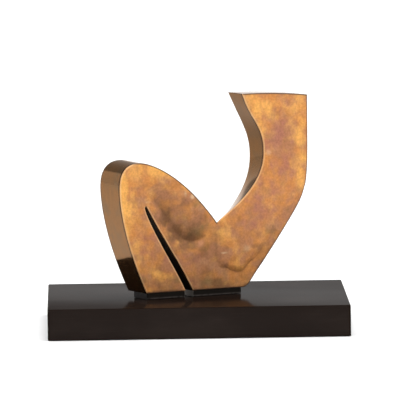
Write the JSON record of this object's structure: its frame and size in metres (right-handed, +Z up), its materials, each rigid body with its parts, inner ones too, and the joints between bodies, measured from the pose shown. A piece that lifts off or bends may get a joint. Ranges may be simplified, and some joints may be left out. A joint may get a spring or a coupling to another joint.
{
  "type": "bronze bather sculpture",
  "caption": "Stylised seated bather cast in bronze as one thick slab with knees drawn up, turned on a low black wooden plinth.",
  "frame": {"origin": "middle of the plinth's underside", "axes": "+Z up, -Y out of the plinth's front, +X to the right as seen from the front"},
  "size_m": [0.3, 0.252, 0.2324],
  "materials": {
    "bronze": "golden brown patina on the faces, polished walls",
    "pad_metal": "dark brown, satin",
    "plinth_wood": "black lacquer, satin"
  },
  "bodies": {
    "root": {"bather_figure": "bronze", "foot_pad": "pad_metal", "seat_pad": "pad_metal", "plinth": "plinth_wood"}
  },
  "joints": []
}
